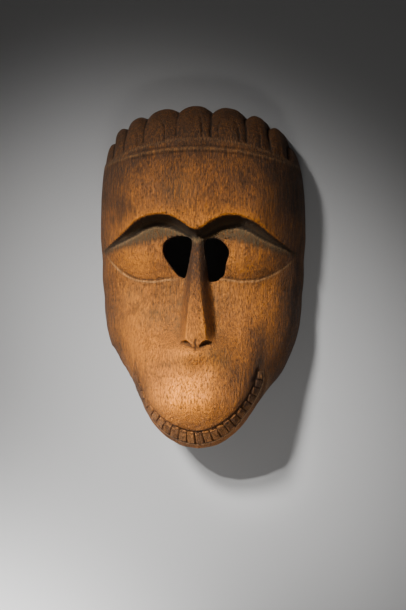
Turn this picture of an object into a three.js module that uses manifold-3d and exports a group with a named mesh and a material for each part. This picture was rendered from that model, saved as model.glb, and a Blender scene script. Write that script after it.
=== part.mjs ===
// A wooden monkey mask, carved and hollowed from one block, lying face up on its rim.
// Millimetres. +X is to the right of someone who faces the mask, +Y points to the crown, +Z out of the
// face. The origin is on the rim's plane, in the middle of the mask's width and length.
// Every point of the skin is found from its direction round the origin and its way out from the middle
// of the face, over the rounded shoulder and down the side wall to the rim.

import * as THREE from "three";
import { mergeVertices } from "three/addons/utils/BufferGeometryUtils.js";
import Module from "manifold-3d";

// Driving dimensions
const halfWidth = 77.8;
const halfLength = 128.5;

// Outline seen from the front: the right half, from the chin to the crown
const halfOutline = [
  [0, -halfLength], [12, -126.7], [20.5, -122.4], [26.8, -117.8], [31.5, -113.2], [35.2, -108.8],
  [38, -104.3], [41, -99.8], [43.8, -95.4], [47.2, -90.5], [51.8, -84.2], [56, -78.8], [59.2, -73.8],
  [62, -68.5], [64.8, -62.5], [67.6, -56], [70.2, -49], [72.6, -40], [74.3, -28], [75.4, -11],
  [76.4, 8], [halfWidth, 32], [halfWidth - 0.2, 46], [76.6, 65], [74.8, 79], [71.8, 91.5],
  [67.8, 101.2], [61.4, 109.8], [52.2, 116.8], [39.3, 122.8], [25, 126.6], [11.5, 128.1], [0, halfLength],
];
const crownSway = -1.6; // the crown leans a little to the left
const crownSwayStart = 70;

// Side wall and shoulder, by direction in degrees: -90 is the chin, 0 the right side and 90 the crown
const wallHeightByDirection = [
  [-90, 58], [-72, 53], [-58, 38], [-38, 22], [-10, 17], [20, 17], [50, 24], [70, 34], [90, 38],
];
const shoulderWidthByDirection = [
  [-90, 14], [-72, 18], [-58, 30], [-38, 46], [-10, 56], [20, 56], [50, 44], [70, 28], [90, 24],
];
const shoulderRiseByDirection = [[-90, 22], [-58, 46], [-10, 50], [50, 48], [90, 32]];
const rimWidthByDirection = [[-90, 8], [-72, 9], [-54, 10.5], [-34, 8.5], [0, 8], [50, 8], [90, 9.5]];
const chinLean = 9; // how far the chin stands out over the rim below it
const chinLeanStart = -66;

// Middle line of the face, as [y, height above the rim]
const foreheadLine = curveThrough([
  [13, 77], [34.5, 80.5], [56, 80.5], [78, 77.5], [95, 73], [108, 68.5], [halfLength, 60],
]);
const foreheadBow = 1 / 480; // how fast it falls away to each side, per mm
const cheekLine = curveThrough([[-halfLength, 68], [-90, 70], [-60, 69], [-30, 67.5], [0, 66], [50, 66]]);
const cheekBow = 1 / 900;
const muzzleRise = curveThrough([
  [-halfLength, 0], [-122, 4], [-114, 12], [-107, 20], [-99, 25.6], [-92, 27.2], [-82, 25.8],
  [-68, 20.5], [-54, 12.5], [-40, 5], [-20, 0],
]);
const muzzleHalfWidth = 40;

// Brow, eyelid crease and lower lid, as [distance from the middle line, y]
const eyeCorner = 73;
const eyeCornerHeight = 17.5;
const browEdge = curveThrough([
  [0, 33.2], [5, 35.2], [10, 38.6], [16, 42], [22, 43.9], [29, 44.2], [37, 42.4], [45.5, 38.2],
  [54, 31.2], [63, 24.6], [eyeCorner, eyeCornerHeight],
]);
const lidCrease = curveThrough([
  [0, 26.6], [6, 28.6], [12, 32], [20, 35.2], [30, 36.4], [39, 33.6], [46, 29.4], [55, 25], [63, 21.6],
  [eyeCorner, eyeCornerHeight],
]);
const lowerLid = curveThrough([
  [0, -1.6], [12, -2], [20, -2.2], [34, -3.8], [44, -3], [51, -0.8], [57, 2.4], [65, 8.4],
  [eyeCorner, eyeCornerHeight],
]);
const browDepth = curveThrough([
  [0, 13], [8, 16.5], [24, 16.5], [40, 13.5], [55, 9], [65, 5.5], [70.5, 3], [eyeCorner, 0],
]);
const eyeBulge = curveThrough([[0, 2], [18, 4], [45, 4.5], [62, 2], [eyeCorner, 0]]);
const browSwell = 2;
const lidStep = 1;
const eyeTilt = 0.02; // the eyes sink a little to the right, per mm

// Nose, by y: the height of its ridge, and half its width on the ridge and where it meets the cheeks
const noseRidge = curveThrough([
  [-58, 92], [-50, 95.5], [-40, 94], [-22, 88.5], [-2, 81.5], [16, 75], [27, 71.5], [34, 71],
]);
const noseRidgeHalfWidth = curveThrough([
  [-52, 8], [-38, 7.2], [-25, 5.4], [-10, 3.6], [11, 2.2], [26, 1.5],
]);
const noseBaseHalfWidth = curveThrough([
  [-52, 14.2], [-38, 13.8], [-18, 12.2], [0, 9.4], [12, 7.2], [24, 5.4], [32, 4.6],
]);
const noseBow = 1 / 34;
// The lower edge of the nose, with the two nostrils arching up into it
const noseEnd = curveThrough([
  [0, -54.4], [3.2, -51.4], [5.4, -49.2], [8, -48], [10.6, -48.4], [14.4, -51.6],
]);
// The upper lip swells up to meet the nose
const lipSwell = 15;
const lipSwellHalfWidth = 23;
const lipSwellMiddle = -55;

// Mouth: the gum line is a rounded U below mouthTop, and the teeth and the lower lip follow it
const mouthTop = -68;
const gumHalfWidth = 44.8;
const gumDrop = 47;
const gumRoundness = 1.75;
const toothPitch = 6.15;
const toothLengthByDirection = [[0, 9], [15, 8.6], [30, 7.4], [47, 4.8], [62, 4.2], [78, 4], [91, 1.6]];
const toothRecess = 2.2;
const toothSwell = 1.9;
const lipWidth = 3.4;

// Crown: a cord, a plain band and a row of petals that stand over the edge
const bandMiddle = 94.2;
const bandBow = 0.0023;
const petalMiddle = 103.4;
const petalBow = 0.0036;
const petalEdges = [-84, -75, -66, -55.4, -39.6, -14.8, 11, 37.2, 54.4, 68, 78, 86];
const petalRise = 2.6;
const petalNotch = 6; // at the shoulder
const petalNotchBelow = 4.6; // down the wall
const notchShares = [0.6, 0.6, 0.65, 0.65, 0.65, 0.75, 1, 1, 0.95, 0.6, 0.5, 0]; // of that, at each edge
const cordRise = 1.2;
const bandRise = 0.8;

// Left jaw, where the edge is worn and broken away: how deep, by direction
const breakDepthByDirection = [
  [-68, 0], [-60, 3], [-55, 4.6], [-48, 3.2], [-40.5, 1.6], [-38.5, 0.9], [-37.5, 0],
];

// Eye openings, which were cut by hand and differ, and the hollow inside
const rightOpening = [
  [4.8, 25], [9, 28], [13, 28.2], [17, 26.6], [20.6, 23.4], [23.2, 19.6], [23.4, 15.6], [21.4, 9],
  [20, 1.6], [16.8, -2.2], [12.6, -4.2], [8.2, -3], [6.4, 9],
];
const leftOpening = [
  [-3.8, 24], [-6, 28.2], [-12, 29.8], [-19, 28.8], [-24.4, 25], [-25.6, 19.6], [-24.2, 14],
  [-20, 7.4], [-15.6, 1.2], [-11.4, -1.4], [-8.6, -0.4], [-6.4, 8.6],
];
const hollowLine = curveThrough([
  [-halfLength, 54], [-113, 68], [-98, 82], [-84, 85], [-70, 77], [-54, 67], [-36, 59], [-10, 56],
  [12, 53], [28, 52.5], [44, 61], [60, 68.5], [83, 65.5], [108, 57], [halfLength, 50],
]);
const hollowBow = 1 / 300;
const hollowWallShare = 0.72;

// Facets
const sampleStep = 1.25;
const planHalfWidth = 125;
const planHalfLength = 200;
const rimPoints = 132;
const skinPoints = 3700;
const hollowPoints = 600;
const openingPoints = 26;

// A smooth line through [input, output] points, in order of their input, that makes no wave of its own
function curveThrough(points) {
  const last = points.length - 1;
  const steps = points.slice(1).map((p, i) => (p[1] - points[i][1]) / (p[0] - points[i][0]));
  const slopes = points.map((p, i) => {
    const [before, after] = [steps[Math.max(i - 1, 0)], steps[Math.min(i, last - 1)]];
    return before * after <= 0 ? 0 : (2 * before * after) / (before + after);
  });
  return (input) => {
    if (input <= points[0][0]) return points[0][1];
    if (input >= points[last][0]) return points[last][1];
    const i = points.findIndex((p) => p[0] > input) - 1;
    const span = points[i + 1][0] - points[i][0];
    const t = (input - points[i][0]) / span;
    const u = 1 - t;
    return (
      points[i][1] * u * u * (1 + 2 * t) + points[i + 1][1] * t * t * (3 - 2 * t) +
      span * t * u * (slopes[i] * u - slopes[i + 1] * t)
    );
  };
}

const degrees = (radians) => (radians * 180) / Math.PI;
const mix = (a, b, share) => a + (b - a) * share;

// 0 up to the start, 1 from the end, and an S between them
function ramp(start, end, value) {
  return THREE.MathUtils.smoothstep((value - start) / (end - start), 0, 1);
}

const outlineRadius = curveThrough(
  halfOutline.map(([x, y]) => [degrees(Math.atan2(y, x)), Math.hypot(x, y)]),
);
const wallHeight = curveThrough(wallHeightByDirection);
const shoulderWidth = curveThrough(shoulderWidthByDirection);
const shoulderRise = curveThrough(shoulderRiseByDirection);
const rimWidth = curveThrough(rimWidthByDirection);
const toothLength = curveThrough(toothLengthByDirection);
const breakDepth = curveThrough(breakDepthByDirection);
const notchShare = curveThrough(petalEdges.map((edge, i) => [edge, notchShares[i]]));

// How full the petal at x is: 1 along its middle and 0 in the groove to the next one
function petalFullness(x) {
  const i = petalEdges.findIndex((edge) => edge > x);
  if (i < 1) return 0;
  const across = (x - petalEdges[i - 1]) / (petalEdges[i] - petalEdges[i - 1]);
  return 1 - Math.abs(2 * across - 1) ** 2.5;
}

// How far a point is inside the row of petals, from 0 below its foot to 1
const inPetals = (x, y) => ramp(-0.5, 2.5, y - (petalMiddle - petalBow * x * x));

function crownRelief(x, y) {
  const overBand = y - (bandMiddle - bandBow * x * x);
  const petals = inPetals(x, y);
  const cord = cordRise * Math.exp(-((overBand / 1.1) ** 2));
  const band = bandRise * ramp(-0.5, 0.8, overBand) * (1 - petals);
  return cord + band + petalRise * petals * (petalFullness(x) - 0.45);
}

function foreheadHeight(x, y) {
  const swell = browSwell * Math.exp(-(((y - browEdge(Math.abs(x))) / 9) ** 2));
  return foreheadLine(y) - foreheadBow * x * x + swell + crownRelief(x, y);
}

// The cheek, with the muzzle on it. Past the outer corner of the eye it is one surface with the forehead.
function cheekHeight(x, y) {
  const muzzle = muzzleRise(y) * Math.exp(-((Math.abs(x) / muzzleHalfWidth) ** 2.6));
  const joined = ramp(52, 74, Math.abs(x)) * ramp(-60, eyeCornerHeight, y);
  return mix(cheekLine(y) - cheekBow * x * x + muzzle, foreheadLine(y) - foreheadBow * x * x, joined);
}

// Length along the row of teeth, from the chin to each direction round the middle of the mouth
const toothRowLength = (() => {
  const row = [[0, 0]];
  let before = null;
  for (let direction = 0; direction <= 90; direction += 1) {
    const gum = gumRadius(direction) + toothLength(direction) / 2;
    const turn = THREE.MathUtils.degToRad(direction);
    const here = new THREE.Vector2(0, gum).rotateAround(new THREE.Vector2(), turn);
    if (before) row.push([direction, row[row.length - 1][1] + here.distanceTo(before)]);
    before = here;
  }
  return curveThrough(row);
})();

// Distance from the middle of the mouth to the gum line, by direction: 0 is straight down to the chin
function gumRadius(direction) {
  const angle = THREE.MathUtils.degToRad(direction);
  const across = (Math.abs(Math.sin(angle)) / gumHalfWidth) ** gumRoundness;
  const down = (Math.max(0, Math.cos(angle)) / gumDrop) ** gumRoundness;
  return (across + down) ** (-1 / gumRoundness);
}

// The row of teeth, cut back from the upper lip, and the lower lip under it
function mouthRelief(x, y) {
  const direction = degrees(Math.atan2(Math.abs(x), mouthTop - y));
  if (direction > 97) return 0;
  const below = Math.hypot(x, y - mouthTop) - gumRadius(Math.min(direction, 90));
  const length = toothLength(direction);
  const atEnd = 1 - ramp(88, 96, direction);
  const recess = atEnd * ramp(-0.7, 0.6, below) * (1 - ramp(length - 0.4, length + 0.9, below));
  const along = toothRowLength(Math.min(direction, 90)) / toothPitch;
  const tooth = 1 - Math.abs(2 * (along - Math.floor(along)) - 1) ** 4;
  const overLip = (below - length - lipWidth / 2) / lipWidth;
  return recess * (toothSwell * tooth - toothRecess) + 0.8 * atEnd * Math.exp(-4 * overLip * overLip);
}

// The socket under the brow: a steep cut, then the bulging eye, down to the edge of the cheek
function eyeHeight(x, y) {
  const away = Math.abs(x);
  const [brow, crease, lid] = [browEdge(away), lidCrease(away), lowerLid(away)];
  const top = foreheadHeight(x, brow);
  if (y > crease) return top - browDepth(away) * ((brow - y) / (brow - crease)) ** 0.8;
  const down = (crease - y) / (crease - lid);
  const bulge = eyeBulge(away) * (1 - (2 * down - 1) ** 2);
  return mix(top - browDepth(away), cheekHeight(x, lid) - lidStep, down) + bulge;
}

function noseHeight(x, y, face) {
  const away = Math.abs(x);
  const [start, end] = [noseRidgeHalfWidth(y), noseBaseHalfWidth(y)];
  const straight = THREE.MathUtils.clamp((away - start) / (end - start), 0, 1);
  const side = mix(ramp(start, end, away), straight, 0.5);
  const ridge = noseRidge(y) - noseBow * away * away;
  const overLip = ((y - lipSwellMiddle) / 10) ** 2 + (x / lipSwellHalfWidth) ** 2;
  const around = face + lipSwell * Math.exp(-overLip);
  return mix(around, Math.max(around, mix(ridge, around, side)), ramp(-1, 0.8, y - noseEnd(away)));
}

// How far the line of the eyes has sunk at a place on the face
const eyeSinking = (x, y) => eyeTilt * x * ramp(-2, 12, y) * (1 - ramp(52, 80, y));

// Height of the carved face over the rim, before it rounds off towards the edge
function faceHeight(x, plainY) {
  const away = Math.abs(x);
  const y = plainY + eyeSinking(x, plainY);
  const inEye = away < eyeCorner && y < browEdge(away) && y > lowerLid(away);
  const edge = away < eyeCorner ? browEdge(away) : eyeCornerHeight;
  const around = y >= edge ? foreheadHeight(x, y) : cheekHeight(x, y) + mouthRelief(x, y);
  const face = inEye ? eyeHeight(x, y) : around;
  return away < 48 && y < browEdge(0) ? noseHeight(x, y, face) : face;
}

// The way out from the middle to the rim, in one direction: over the face, round the shoulder and down
// the wall
function wayOut(direction, radius, wall) {
  const shoulder = Math.min(shoulderWidth(direction), radius);
  const flat = radius - shoulder;
  const round = 1.1 * Math.hypot(shoulder, shoulderRise(direction));
  return { radius, wall, shoulder, round, flat, length: flat + round + wall };
}

// Place on that way, by the share of its length: distance from the middle, how much of the face's
// height is left, and how far down the wall it is
function placeOnWay(way, share) {
  const gone = share * way.length;
  if (gone <= way.flat) return { out: gone, left: 1, down: 0 };
  const turn = (Math.min(1, (gone - way.flat) / way.round) * Math.PI) / 2;
  const down = Math.min(1, Math.max(0, gone - way.flat - way.round) / way.wall);
  return { out: way.flat + way.shoulder * Math.sin(turn), left: Math.cos(turn), down };
}

// Share of the way out at which a place on the face lies
function shareAt(x, y) {
  const direction = degrees(Math.atan2(y, Math.abs(x)));
  const way = wayOut(direction, outlineRadius(direction), wallHeight(direction));
  const past = Math.hypot(x, y) - way.flat;
  const turn = past > 0 ? Math.asin(Math.min(1, past / way.shoulder)) : 0;
  return (way.flat + Math.min(0, past) + (way.round * turn * 2) / Math.PI) / way.length;
}

// A place on the outside, or on the inside when it is inset
function shellPoint(angle, share, isInset, wallShare, height) {
  const [cos, sin] = [Math.cos(angle), Math.sin(angle)];
  const direction = degrees(Math.atan2(sin, Math.abs(cos)));
  const radius = outlineRadius(direction) - (isInset ? rimWidth(direction) : 0);
  const way = wayOut(direction, radius, wallHeight(direction) * wallShare);
  const place = placeOnWay(way, share);
  const [x, y] = [place.out * cos, place.out * sin];
  const overFace = mix(way.wall, height(x, y), place.left);
  const z = place.down > 0 ? way.wall * (1 - place.down) : overFace;
  const lean = chinLean * ramp(chinLeanStart, -halfLength, y) * (1 - Math.min(1, z / way.wall));
  const sway = crownSway * ramp(crownSwayStart, halfLength, y);
  return { way, place, direction, point: new THREE.Vector3(x + sway, y + lean, z) };
}

// The carved outside. Petals notch its top edge, and the left jaw has its break.
function skinPoint(angle, share) {
  const { way, place, direction, point } = shellPoint(angle, share, false, 1, faceHeight);
  const nearEdge = ramp(0.86, 1, place.out / way.radius);
  const [x, y] = [place.out * Math.cos(angle), place.out * Math.sin(angle)];
  const between = (1 - petalFullness(x)) * inPetals(x, y) * notchShare(x);
  const notch = mix(petalNotch, petalNotchBelow, ramp(0, 0.4, place.down)) * between;
  const worn = Math.cos(angle) < 0 ? breakDepth(direction) : 0;
  const cut = nearEdge * (notch + worn);
  point.x -= cut * Math.cos(angle);
  point.y -= cut * Math.sin(angle);
  return point;
}

// The hollow inside, which follows the face more loosely
function hollowPoint(angle, share) {
  const depth = (x, y) => hollowLine(y) - hollowBow * x * x;
  return shellPoint(angle, share, true, hollowWallShare, depth).point;
}

// Places along the sharp lines of the carving, where facets have to meet, as [x, y] on the face
function carvedLines() {
  const places = [];
  const follow = (start, end, step, placeAt) => {
    for (let at = start; at <= end; at += step) {
      const [x, y] = placeAt(at);
      const sunk = eyeSinking(x, y);
      places.push([x, y - sunk], [-x, y + sunk]);
    }
  };
  follow(0.5, eyeCorner, 2.5, (x) => [x, browEdge(x)]);
  follow(8, eyeCorner, 3, (x) => [x, lidCrease(x)]);
  follow(12, eyeCorner, 3.5, (x) => [x, lowerLid(x)]);
  follow(12, eyeCorner - 2, 3.5, (x) => [x, lowerLid(x) + 0.7]);
  follow(-50, 26, 3.8, (y) => [noseRidgeHalfWidth(y), y]);
  follow(-50, 30, 3.8, (y) => [noseBaseHalfWidth(y), y]);
  follow(1, 14, 2, (x) => [x, noseEnd(x) + 1]);
  follow(1, 14, 2, (x) => [x, noseEnd(x) - 1.6]);
  for (const under of [-0.7, 0.8]) {
    follow(2, 92, 3, (direction) => {
      const turned = new THREE.Vector2(0, -gumRadius(Math.min(direction, 90)) - under);
      turned.rotateAround(new THREE.Vector2(), THREE.MathUtils.degToRad(direction));
      return [turned.x, mouthTop + turned.y];
    });
  }
  return places;
}

// Samples of a surface: where each lies in space, and on a flat oval plan of the surface, rolled out
// round its middle
function sampleSurface(pointOf, lines) {
  const samples = [];
  const add = (angle, share) => {
    const x = share * planHalfWidth * Math.cos(angle);
    const y = share * planHalfLength * Math.sin(angle);
    samples.push({ point: pointOf(angle, share), x, y });
  };
  for (let i = 0; i < rimPoints; i += 1) add((i / rimPoints) * 2 * Math.PI, 1);
  add(0, 0);
  for (const [x, y] of lines) add(Math.atan2(y, x), shareAt(x, y));
  const rings = Math.round(planHalfLength / sampleStep);
  for (let ring = 1; ring < rings - 2; ring += 1) {
    const share = ring / rings;
    const around = Math.ceil((Math.PI * share * (planHalfWidth + planHalfLength)) / sampleStep) + 5;
    // Each ring starts a little further round, so that no four samples lie on one circle
    for (let i = 0; i < around; i += 1) add(((i + ring * 0.37) / around) * 2 * Math.PI, share);
  }
  return samples;
}

const turnOf = (a, b, c) => (b.x - a.x) * (c.y - a.y) - (b.y - a.y) * (c.x - a.x);

function isInCircle(triangle, p) {
  const lifted = triangle.corners.map((q) => {
    return new THREE.Vector3(q.x - p.x, q.y - p.y, (q.x - p.x) ** 2 + (q.y - p.y) ** 2);
  });
  return lifted[0].dot(lifted[1].cross(lifted[2])) > 0;
}

// A facet on the plan, with the samples that lie in it and the one that it misses most
function makeTriangle(corners, neighbours, samples) {
  const triangle = { corners, neighbours, samples, alive: true, worst: null, miss: 0 };
  const area = turnOf(...corners);
  if (corners.some((c) => !c.point) || area <= 0) return triangle;
  const [a, b, c] = corners;
  for (const s of samples) {
    const [u, v] = [turnOf(s, b, c) / area, turnOf(a, s, c) / area];
    const w = 1 - u - v;
    const miss = Math.hypot(
      s.point.x - u * a.point.x - v * b.point.x - w * c.point.x,
      s.point.y - u * a.point.y - v * b.point.y - w * c.point.y,
      s.point.z - u * a.point.z - v * b.point.z - w * c.point.z,
    );
    if (miss > triangle.miss) Object.assign(triangle, { miss, worst: s });
  }
  return triangle;
}

// Puts one sample into the facets that hold it, and keeps the facets as even as can be (Delaunay)
function addCorner(triangles, start, sample) {
  const cavity = [start];
  start.alive = false;
  const border = [];
  for (const triangle of cavity) {
    triangle.neighbours.forEach((next, side) => {
      if (next && !next.alive) return;
      if (next && isInCircle(next, sample)) {
        next.alive = false;
        cavity.push(next);
        return;
      }
      const [from, to] = [triangle.corners[side], triangle.corners[(side + 1) % 3]];
      border.push({ from, to, next, old: triangle });
    });
  }
  const edges = border.filter((edge) => !edge.next || edge.next.alive);
  const loose = cavity.flatMap((triangle) => triangle.samples).filter((s) => s !== sample);
  const held = edges.map(() => []);
  for (const s of loose) {
    let [best, most] = [0, -Infinity];
    edges.forEach(({ from, to }, i) => {
      const least = Math.min(turnOf(sample, from, s), turnOf(to, sample, s), turnOf(from, to, s));
      if (least > most) [best, most] = [i, least];
    });
    held[best].push(s);
  }
  const made = edges.map(({ from, to, next }, i) => {
    return makeTriangle([from, to, sample], [next, null, null], held[i]);
  });
  edges.forEach((edge, i) => {
    made[i].neighbours[1] = made[edges.findIndex((other) => other.from === edge.to)];
    made[i].neighbours[2] = made[edges.findIndex((other) => other.to === edge.from)];
    if (edge.next) edge.next.neighbours[edge.next.neighbours.indexOf(edge.old)] = made[i];
  });
  for (const triangle of made) {
    for (const s of triangle.samples) s.home = triangle;
    triangles.add(triangle);
  }
  for (const triangle of cavity) triangles.delete(triangle);
}

// Facets for a surface: the rim and the carved lines first, then always the sample that they miss most
function facetsOf(pointOf, lines, pointBudget) {
  const samples = sampleSurface(pointOf, lines);
  const far = 40 * halfLength;
  const outer = [{ x: -far, y: -far }, { x: far, y: -far }, { x: 0, y: far }];
  const first = makeTriangle(outer, [null, null, null], samples);
  for (const s of samples) s.home = first;
  const triangles = new Set([first]);
  const given = rimPoints + 1 + lines.length;
  for (const s of samples.slice(0, given)) addCorner(triangles, s.home, s);
  for (let count = given; count < pointBudget; count += 1) {
    let worst = null;
    for (const triangle of triangles) if (!worst || triangle.miss > worst.miss) worst = triangle;
    addCorner(triangles, worst, worst.worst);
  }
  const facets = [...triangles].map((t) => t.corners).filter((t) => t.every((c) => c.point));
  return { rim: samples.slice(0, rimPoints), triangles: facets };
}

function closedShell() {
  const skin = facetsOf(skinPoint, carvedLines(), skinPoints);
  const hollow = facetsOf(hollowPoint, [], hollowPoints);
  const faces = [...skin.triangles, ...hollow.triangles.map(([a, b, c]) => [a, c, b])];
  skin.rim.forEach((outer, i) => {
    const next = (i + 1) % rimPoints;
    faces.push([outer, hollow.rim[next], skin.rim[next]], [outer, hollow.rim[i], hollow.rim[next]]);
  });
  const corners = faces.flat().flatMap(({ point }) => [point.x, point.y, point.z]);
  const positions = new THREE.Float32BufferAttribute(corners, 3);
  return new THREE.BufferGeometry().setAttribute("position", positions);
}

// A straight cutter for one eye opening
function eyeCutter(opening) {
  const corners = opening.map(([x, y]) => new THREE.Vector3(x, y, 0));
  const outline = new THREE.CatmullRomCurve3(corners, true).getSpacedPoints(openingPoints).slice(1);
  const shape = new THREE.Shape(outline.map((p) => new THREE.Vector2(p.x, p.y)));
  return new THREE.ExtrudeGeometry(shape, { depth: 90, bevelEnabled: false }).translate(0, 0, 30);
}

const wasm = await Module();
wasm.setup();

function solidOf(geometry) {
  geometry.deleteAttribute("normal");
  geometry.deleteAttribute("uv");
  const merged = mergeVertices(geometry, 1e-4);
  const vertProperties = merged.attributes.position.array;
  const triVerts = new Uint32Array(merged.index.array);
  return new wasm.Manifold(new wasm.Mesh({ numProp: 3, vertProperties, triVerts }));
}

function geometryOf(solid) {
  const { vertProperties, triVerts } = solid.getMesh();
  const geometry = new THREE.BufferGeometry();
  geometry.setAttribute("position", new THREE.BufferAttribute(vertProperties, 3));
  geometry.setIndex(new THREE.BufferAttribute(triVerts, 1));
  geometry.computeVertexNormals();
  return geometry;
}

function carvedMask() {
  const shell = solidOf(closedShell());
  const cutters = [rightOpening, leftOpening].map((opening) => solidOf(eyeCutter(opening)));
  const solid = cutters.reduce((rest, cutter) => rest.subtract(cutter), shell);
  const wood = new THREE.MeshStandardMaterial({ color: 0x9c5f31, roughness: 0.55, metalness: 0 });
  const mask = new THREE.Mesh(geometryOf(solid), wood);
  mask.name = "carved_mask";
  return mask;
}

const monkeyMask = new THREE.Group();
monkeyMask.add(carvedMask());

export default monkeyMask;
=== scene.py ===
# A wooden monkey mask, carved and hollowed from one block. It lies face up on its rim.
# The carving's dictionaries are in millimetres and degrees. The wood's patterns, the lights and the
# finished mesh are in metres.
# +X is to the right of someone who faces the mask, +Y points to the crown, +Z out of the face.

import math

import bpy
import numpy as np
from mathutils import Matrix, Vector
from mathutils.kdtree import KDTree


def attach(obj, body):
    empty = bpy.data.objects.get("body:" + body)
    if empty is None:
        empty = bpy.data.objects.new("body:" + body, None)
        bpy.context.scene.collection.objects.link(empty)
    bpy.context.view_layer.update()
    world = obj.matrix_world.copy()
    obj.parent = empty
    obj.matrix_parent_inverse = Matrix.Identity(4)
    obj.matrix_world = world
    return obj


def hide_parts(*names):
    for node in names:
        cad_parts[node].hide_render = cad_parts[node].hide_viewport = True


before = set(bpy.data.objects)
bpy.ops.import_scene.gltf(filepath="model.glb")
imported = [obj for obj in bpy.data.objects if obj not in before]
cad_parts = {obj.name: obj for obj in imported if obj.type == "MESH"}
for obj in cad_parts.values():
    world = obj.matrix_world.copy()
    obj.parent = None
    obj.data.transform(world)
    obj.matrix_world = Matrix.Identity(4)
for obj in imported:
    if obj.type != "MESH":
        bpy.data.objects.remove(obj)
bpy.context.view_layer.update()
print("the packed mask is loaded")

millimetre = 0.001


# A smooth line through [input, output] points that makes no wave of its own between them
def curveThrough(points):
    xs, ys = np.array(points, float).T
    steps = np.diff(ys) / np.diff(xs)
    before = np.concatenate([steps[:1], steps])
    after = np.concatenate([steps, steps[-1:]])
    turnsBack = before * after <= 0
    slopes = np.where(turnsBack, 0, 2 * before * after / np.where(turnsBack, 1, before + after))

    def line(value):
        value = np.clip(value, xs[0], xs[-1])
        i = np.clip(np.searchsorted(xs, value, side="right") - 1, 0, len(xs) - 2)
        span = xs[i + 1] - xs[i]
        t = (value - xs[i]) / span
        u = 1 - t
        ends = ys[i] * u * u * (1 + 2 * t) + ys[i + 1] * t * t * (3 - 2 * t)
        return ends + span * t * u * (slopes[i] * u - slopes[i + 1] * t)

    return line


def curvesOf(piece, *names):
    return [curveThrough(piece[name]) for name in names]


# 0 up to the start, 1 from the end, and an S between them
def ramp(start, end, value):
    t = np.clip((value - start) / (end - start), 0, 1)
    return t * t * (3 - 2 * t)


def mix(a, b, share):
    return a + (b - a) * share


def bump(value, middle, width):
    return np.exp(-(((value - middle) / width) ** 2))


# How far each place is from a line through a few points
def distanceTo(x, y, corners, isClosed=False):
    corners = np.array(corners, float)
    gap = np.full(x.shape, 99.0)
    low, high = corners.min(0) - 5, corners.max(0) + 5
    near = (x > low[0]) & (x < high[0]) & (y > low[1]) & (y < high[1])
    place = np.stack([x[near], y[near]], 1)[:, None]
    start = corners if isClosed else corners[:-1]
    step = (np.roll(corners, -1, 0) - corners)[: len(start)]
    along = np.clip(((place - start) * step).sum(2) / (step**2).sum(1), 0, 1)
    gap[near] = np.linalg.norm(place - start - along[..., None] * step, axis=2).min(1)
    return gap


# A closed smooth outline through given corners
def smoothOutline(corners, perCorner=8):
    corners = np.array(corners, float)
    before, after, beyond = (np.roll(corners, k, 0) for k in (1, -1, -2))
    outline = []
    for t in np.arange(perCorner) / perCorner:
        pull = (after - before) * t + (2 * before - 5 * corners + 4 * after - beyond) * t**2
        outline.append(corners + 0.5 * (pull + (3 * corners - 3 * after + beyond - before) * t**3))
    return np.stack(outline, 1).reshape(-1, 2)


# How much a rounded edge has fallen away at a distance from it
def edgeFall(gap, radius):
    over = np.clip(radius - gap, 0, radius)
    return radius - np.sqrt(radius**2 - over**2)


# The crown: a cord, a plain band and a row of petals that stand over the edge
crown = {
    "bandMiddle": 94.2,
    "bandBow": 0.0023,
    "petalMiddle": 103.4,
    "petalBow": 0.0036,
    "petalEdges": [-84, -75, -66, -55.4, -39.6, -14.8, 11, 37.2, 54.4, 68, 78, 86],
    "petalRise": 2.6,
    "petalNotch": [6, 4.6],  # at the shoulder and down the wall
    "notchShares": [0.6, 0.6, 0.65, 0.65, 0.65, 0.75, 1, 1, 0.95, 0.6, 0.5, 0],
    "cordRise": 1.1,
    "cordWidth": 1.3,
    "cordGroove": [2.6, 0.2, 0.8],  # above the cord: how far, how deep and how wide
    "bandRise": 0.5,
    "grooveDepths": [0, 0.2, 0.3, 0.5, 0.5, 0.3, 1.8, 2.1, 1.8, 0.9, 0.3, 0],
    "grooveWidth": 0.85,
    "grooveWander": 0.35,
    "archWander": 0.2,
    "archWidth": 0.75,
    # An inner arch is cut into each petal: [left foot, right foot, top, depth of the left and right leg]
    "arches": [
        [-64, -59.5, 8, 0.2, 0.7], [-53.4, -44.2, 14, 0.3, 1.2], [-37, -23.2, 15.5, 0.3, 1.7],
        [-11.6, 4.6, 20, 0.3, 2.2], [16.2, 32, 16, 1.2, 2], [39.8, 47.4, 13.5, 0.7, 1.8],
        [56.4, 61.6, 9, 0.5, 1.5],
    ],
}

notchShare = curveThrough(list(zip(crown["petalEdges"], crown["notchShares"])))


# How full the petal at x is: 1 along its middle and 0 in the groove to the next one
def petalFullness(x):
    edges = np.array(crown["petalEdges"], float)
    i = np.clip(np.searchsorted(edges, x, side="right"), 1, len(edges) - 1)
    across = (x - edges[i - 1]) / (edges[i] - edges[i - 1])
    return np.clip(1 - np.abs(2 * across - 1) ** 2.5, 0, 1)


def overPetalFoot(x, y):
    return y - (crown["petalMiddle"] - crown["petalBow"] * x * x)


def inPetals(x, y):
    return ramp(-0.5, 2.5, overPetalFoot(x, y))


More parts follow.
